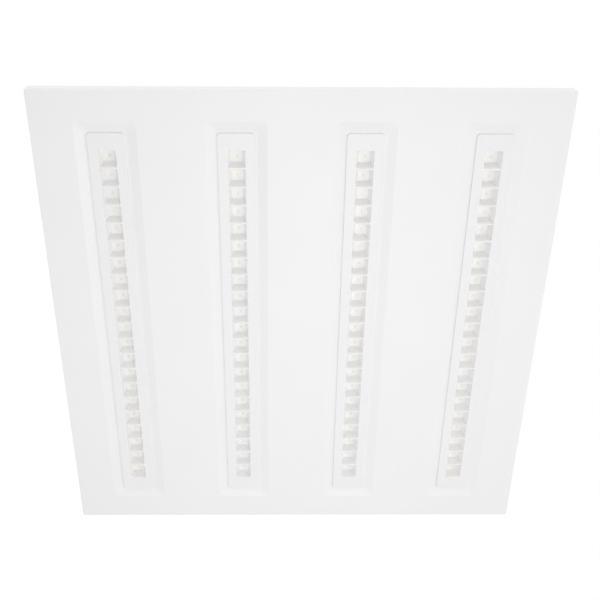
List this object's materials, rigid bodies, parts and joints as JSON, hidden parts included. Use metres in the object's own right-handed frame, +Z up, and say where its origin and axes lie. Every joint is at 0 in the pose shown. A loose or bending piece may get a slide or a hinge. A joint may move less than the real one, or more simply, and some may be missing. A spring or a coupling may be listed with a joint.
{
  "type": "ceiling light",
  "caption": "Square lay-in ceiling light: pressed white steel face with long louvred LED strips, and a driver with a hinged terminal box on its back.",
  "frame": {"origin": "middle of the face, in the plane of its lower surface", "axes": "+Z up towards the ceiling void, away from the lit face; the louvres run along Y, and X crosses them"},
  "size_m": [0.595, 0.595, 0.0467],
  "materials": {
    "powder_coated_steel": "satin white powder coat on steel sheet",
    "louvre_plastic": "satin white moulded polycarbonate",
    "board_aluminium": "white solder mask on aluminium core",
    "led_package": "white package with yellow phosphor",
    "connector_plastic": "moulded white nylon",
    "zinc_steel": "zinc plated",
    "galvanised_steel": "galvanised strip",
    "lead_insulation": "pale PVC insulation",
    "earth_insulation": "green PVC insulation",
    "clip_plastic": "moulded nylon",
    "driver_plastic": "fine moulded texture, white polycarbonate",
    "circuit_laminate": "green solder mask",
    "ferrite": "dull sintered ferrite",
    "copper_winding": "enamelled copper wire under tape",
    "can_sleeve": "shrunk sleeve",
    "film_case": "moulded yellow case",
    "sink_aluminium": "mill finish",
    "bush_rubber": "moulded black rubber",
    "button_plastic": "moulded orange plastic",
    "tinned_brass": "tinned"
  },
  "bodies": {
    "housing": {"face_plate": "powder_coated_steel", "back_plate": "powder_coated_steel", "louvre_1": "louvre_plastic", "louvre_2": "louvre_plastic", "louvre_3": "louvre_plastic", "louvre_4": "louvre_plastic", "led_board_1": "board_aluminium", "led_board_2": "board_aluminium", "led_board_3": "board_aluminium", "led_board_4": "board_aluminium", "led_row_1": "led_package", "led_row_2": "led_package", "led_row_3": "led_package", "led_row_4": "led_package", "board_connectors": "connector_plastic", "input_header": "connector_plastic", "output_header": "connector_plastic", "terminal_block": "connector_plastic", "board_screws": "zinc_steel", "rim_screws": "zinc_steel", "hanger_screws": "zinc_steel", "case_screws": "zinc_steel", "cover_screws": "zinc_steel", "circuit_screws": "zinc_steel", "lug_screws": "zinc_steel", "earth_screw": "zinc_steel", "hanger_bracket_1": "galvanised_steel", "hanger_bracket_2": "galvanised_steel", "hanger_bracket_3": "galvanised_steel", "hanger_bracket_4": "galvanised_steel", "jumper_lead_1": "lead_insulation", "jumper_lead_2": "lead_insulation", "jumper_lead_3": "lead_insulation", "feed_lead": "lead_insulation", "mains_leads": "lead_insulation", "earth_lead": "earth_insulation", "lead_clips": "clip_plastic", "driver_case": "driver_plastic", "driver_cover": "driver_plastic", "terminal_box": "driver_plastic", "driver_board": "circuit_laminate", "transformer_core": "ferrite", "transformer_coil": "copper_winding", "filter_choke": "copper_winding", "bulk_capacitor": "can_sleeve", "output_capacitor": "can_sleeve", "film_capacitor": "film_case", "heat_sink": "sink_aluminium", "cable_bush": "bush_rubber", "outlet_bush": "bush_rubber", "earth_tag": "tinned_brass"},
    "lid": {"terminal_lid": "driver_plastic"},
    "live_button": {"release_button_live": "button_plastic"},
    "neutral_button": {"release_button_neutral": "button_plastic"},
    "earth_button": {"release_button_earth": "button_plastic"}
  },
  "joints": [
    {"name": "lid_hinge", "type": "hinge", "parent": "housing", "child": "lid", "pos_m": [0, -0.0585, 0.0432], "axis": [-1, 0, 0], "range_deg": [0, 105]},
    {"name": "live_press", "type": "slide", "parent": "housing", "child": "live_button", "axis": [0, 0, -1], "range_m": [0, 0.0015], "stiffness_N_per_m": 300, "springref_m": -0.002},
    {"name": "neutral_press", "type": "slide", "parent": "housing", "child": "neutral_button", "axis": [0, 0, -1], "range_m": [0, 0.0015], "stiffness_N_per_m": 300, "springref_m": -0.002},
    {"name": "earth_press", "type": "slide", "parent": "housing", "child": "earth_button", "axis": [0, 0, -1], "range_m": [0, 0.0015], "stiffness_N_per_m": 300, "springref_m": -0.002}
  ]
}
